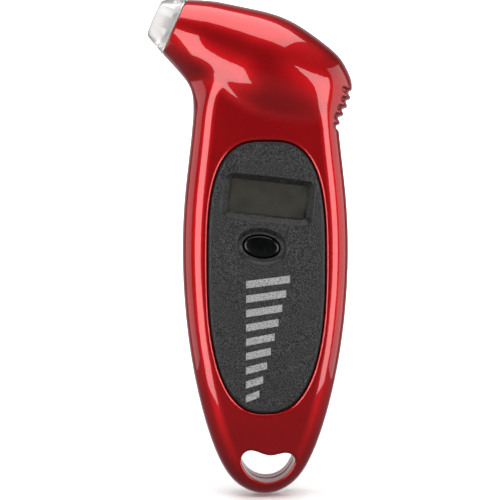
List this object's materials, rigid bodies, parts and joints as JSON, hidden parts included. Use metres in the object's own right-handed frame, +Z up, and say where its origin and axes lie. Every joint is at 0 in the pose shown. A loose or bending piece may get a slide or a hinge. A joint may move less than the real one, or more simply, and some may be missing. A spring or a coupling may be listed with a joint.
{
  "type": "digital tyre pressure gauge",
  "caption": "Hand-held digital tyre pressure gauge: curved red two-shell handle, clear angled nozzle with valve bore, black face panel with LCD and push button, lanyard hole.",
  "frame": {"origin": "centre of the bounding box in X and Y, at the lowest point of the handle", "axes": "+Z up the handle, -Y the face with the display, -X and a little +Z the way the nozzle points; Y = 0 is the parting plane"},
  "size_m": [0.0613, 0.0282, 0.1497],
  "materials": {
    "housing_red": "candy red, high gloss",
    "panel_black": "fine grained, satin",
    "print_grey": "printed",
    "lens_clear": "clear",
    "lcd_glass": "dark olive, unlit",
    "backlight_white": "milky",
    "zebra_rubber": "striped",
    "frame_black": "moulded",
    "button_gloss": "glossy black",
    "switch_metal": "stamped",
    "plunger_plastic": "moulded",
    "board_green": "solder mask",
    "chip_black": "moulded",
    "component_metal": "tinned",
    "screw_steel": "zinc plated",
    "cell_steel": "nickel plated",
    "contact_nickel": "nickel plated",
    "door_black": "fine grained",
    "nozzle_clear": "clear moulded plastic",
    "seal_rubber": "moulded rubber",
    "pin_brass": "turned",
    "chamber_plastic": "moulded",
    "wire_jacket": "jacketed wire"
  },
  "bodies": {
    "gauge": {"front_shell": "housing_red", "rear_shell": "housing_red", "face_panel": "panel_black", "panel_graphic": "print_grey", "display_window": "lens_clear", "lcd_panel": "lcd_glass", "backlight_plate": "backlight_white", "zebra_strips": "zebra_rubber", "lcd_frame": "frame_black", "switch_body": "switch_metal", "main_board": "board_green", "controller_chip": "chip_black", "board_components": "component_metal", "board_screws": "screw_steel", "coin_cell": "cell_steel", "negative_contact": "contact_nickel", "positive_contact": "contact_nickel", "housing_screws": "screw_steel", "nozzle_tip": "nozzle_clear", "valve_seal": "seal_rubber", "valve_pin": "pin_brass", "air_chamber": "chamber_plastic", "sensor_ring": "seal_rubber", "pressure_sensor": "cell_steel", "sensor_cap": "frame_black", "nozzle_led": "lens_clear", "sensor_wires": "wire_jacket", "led_wires": "wire_jacket"},
    "button": {"button_cap": "button_gloss"},
    "plunger": {"switch_plunger": "plunger_plastic"},
    "door": {"battery_door": "door_black", "door_screws": "screw_steel"}
  },
  "joints": [
    {"name": "button_press", "type": "slide", "parent": "gauge", "child": "button", "axis": [0, 1, 0], "range_m": [0, 0.0005], "stiffness_N_per_m": 1500},
    {"name": "plunger_press", "type": "slide", "parent": "gauge", "child": "plunger", "axis": [0, 1, 0], "range_m": [0, 0.0005]},
    {"name": "door_removal", "type": "slide", "parent": "gauge", "child": "door", "axis": [0, 1, 0], "range_m": [0, 0.015]}
  ],
  "couplings": [
    {"joint": "plunger_press", "follows": "button_press", "ratio": 1}
  ]
}
